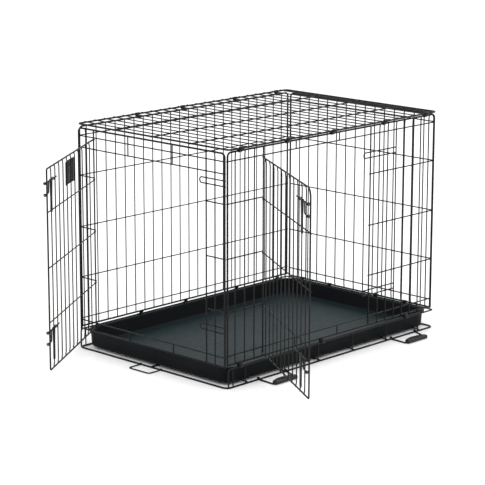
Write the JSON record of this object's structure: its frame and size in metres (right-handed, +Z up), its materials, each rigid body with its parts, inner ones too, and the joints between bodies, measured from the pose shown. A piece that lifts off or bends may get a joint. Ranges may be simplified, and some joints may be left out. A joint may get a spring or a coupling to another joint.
{
  "type": "wire dog crate",
  "caption": "Folding wire crate for a dog, with a front door and a side door on slide bolts, a slide-out plastic tray and carry handles.",
  "frame": {"origin": "floor level at the middle of the base, under the long floor wire", "axes": "+X from the front end to the back end, +Y from the side-door side to the far side, +Z up"},
  "size_m": [1.3011, 0.9993, 0.6784],
  "materials": {
    "wire_coat": "satin black coat",
    "clip_coat": "semi-gloss black coat",
    "tray_plastic": "fine grained, dark slate",
    "black_plastic": "moulded black"
  },
  "bodies": {
    "base": {"base_frame": "wire_coat", "near_side_panel": "wire_coat", "front_end_panel": "wire_coat", "front_door_collar": "clip_coat", "side_door_collar": "clip_coat", "far_base_clip_1": "clip_coat", "far_base_clip_2": "clip_coat", "far_base_clip_3": "clip_coat", "far_base_clip_4": "clip_coat", "near_base_clip_1": "clip_coat", "near_base_clip_2": "clip_coat", "near_base_clip_3": "clip_coat", "back_clip_1": "clip_coat", "back_clip_2": "clip_coat", "back_clip_3": "clip_coat", "back_clip_4": "clip_coat"},
    "far_side": {"far_side_panel": "wire_coat", "far_top_clip_1": "clip_coat", "far_top_clip_2": "clip_coat", "far_top_clip_3": "clip_coat", "far_top_clip_4": "clip_coat"},
    "back_end": {"back_end_panel": "wire_coat"},
    "top": {"top_panel": "wire_coat", "near_top_hook_1": "clip_coat", "near_top_hook_2": "clip_coat", "near_top_hook_3": "clip_coat", "near_top_hook_4": "clip_coat", "near_top_hook_5": "clip_coat"},
    "tray": {"tray": "tray_plastic"},
    "pan_stop": {"pan_stop": "wire_coat"},
    "front_door": {"front_door": "wire_coat", "badge_plate": "black_plastic"},
    "side_door": {"side_door": "wire_coat"},
    "front_door_bolt_lower": {"front_door_bolt_lower": "clip_coat"},
    "front_door_paddle_lower": {"front_door_paddle_lower": "black_plastic"},
    "front_door_bolt_upper": {"front_door_bolt_upper": "clip_coat"},
    "front_door_paddle_upper": {"front_door_paddle_upper": "black_plastic"},
    "side_door_bolt_lower": {"side_door_bolt_lower": "clip_coat"},
    "side_door_paddle_lower": {"side_door_paddle_lower": "black_plastic"},
    "side_door_bolt_upper": {"side_door_bolt_upper": "clip_coat"},
    "side_door_paddle_upper": {"side_door_paddle_upper": "black_plastic"},
    "carry_handle_1": {"carry_handle_wire_1": "wire_coat", "carry_handle_grip_1": "black_plastic"},
    "carry_handle_2": {"carry_handle_wire_2": "wire_coat", "carry_handle_grip_2": "black_plastic"}
  },
  "joints": [
    {"name": "far_side_fold", "type": "hinge", "parent": "base", "child": "far_side", "pos_m": [0, 0.3, 0.096], "axis": [1, 0, 0], "range_deg": [0, 90]},
    {"name": "top_lift", "type": "hinge", "parent": "far_side", "child": "top", "pos_m": [0, 0.3068, 0.674], "axis": [-1, 0, 0], "range_deg": [0, 270]},
    {"name": "back_end_fold", "type": "hinge", "parent": "base", "child": "back_end", "pos_m": [0.4538, 0, 0.062], "axis": [0, -1, 0], "range_deg": [0, 90]},
    {"name": "tray_slide", "type": "slide", "parent": "base", "child": "tray", "axis": [-1, 0, 0], "range_m": [0, 0.5]},
    {"name": "pan_stop_turn", "type": "hinge", "parent": "base", "child": "pan_stop", "pos_m": [-0.4545, 0, 0.00243], "axis": [0, -1, 0], "range_deg": [-90, 0]},
    {"name": "front_door_swing", "type": "hinge", "parent": "base", "child": "front_door", "pos_m": [-0.4538, 0.232, 0.35], "axis": [0, 0, -1], "range_deg": [-58, 100]},
    {"name": "front_door_bolt_lower_slide", "type": "slide", "parent": "front_door", "child": "front_door_bolt_lower", "axis": [-0.848, -0.5299, 0], "range_m": [0, 0.028]},
    {"name": "front_door_paddle_lower_turn", "type": "hinge", "parent": "front_door_bolt_lower", "child": "front_door_paddle_lower", "pos_m": [-0.79264, 0.02923, 0.181], "axis": [0.848, 0.5299, 0], "range_deg": [0, 110]},
    {"name": "front_door_bolt_upper_slide", "type": "slide", "parent": "front_door", "child": "front_door_bolt_upper", "axis": [-0.848, -0.5299, 0], "range_m": [0, 0.028]},
    {"name": "front_door_paddle_upper_turn", "type": "hinge", "parent": "front_door_bolt_upper", "child": "front_door_paddle_upper", "pos_m": [-0.79264, 0.02923, 0.596], "axis": [0.848, 0.5299, 0], "range_deg": [0, 110]},
    {"name": "side_door_swing", "type": "hinge", "parent": "base", "child": "side_door", "pos_m": [-0.305, -0.3, 0.35], "axis": [0, 0, -1], "range_deg": [-121, 37]},
    {"name": "side_door_bolt_lower_slide", "type": "slide", "parent": "side_door", "child": "side_door_bolt_lower", "axis": [-0.515, -0.8572, 0], "range_m": [0, 0.028]},
    {"name": "side_door_paddle_lower_turn", "type": "hinge", "parent": "side_door_bolt_lower", "child": "side_door_paddle_lower", "pos_m": [-0.51485, -0.6345, 0.181], "axis": [0.515, 0.8572, 0], "range_deg": [0, 110]},
    {"name": "side_door_bolt_upper_slide", "type": "slide", "parent": "side_door", "child": "side_door_bolt_upper", "axis": [-0.515, -0.8572, 0], "range_m": [0, 0.028]},
    {"name": "side_door_paddle_upper_turn", "type": "hinge", "parent": "side_door_bolt_upper", "child": "side_door_paddle_upper", "pos_m": [-0.51485, -0.6345, 0.596], "axis": [0.515, 0.8572, 0], "range_deg": [0, 110]},
    {"name": "carry_handle_1_lift", "type": "hinge", "parent": "base", "child": "carry_handle_1", "pos_m": [-0.271, -0.3055, 0.00243], "axis": [-1, 0, 0], "range_deg": [0, 70]},
    {"name": "carry_handle_2_lift", "type": "hinge", "parent": "base", "child": "carry_handle_2", "pos_m": [0.312, -0.3055, 0.00243], "axis": [-1, 0, 0], "range_deg": [0, 70]}
  ],
  "couplings": [
    {"joint": "top_lift", "follows": "far_side_fold", "ratio": 3}
  ]
}
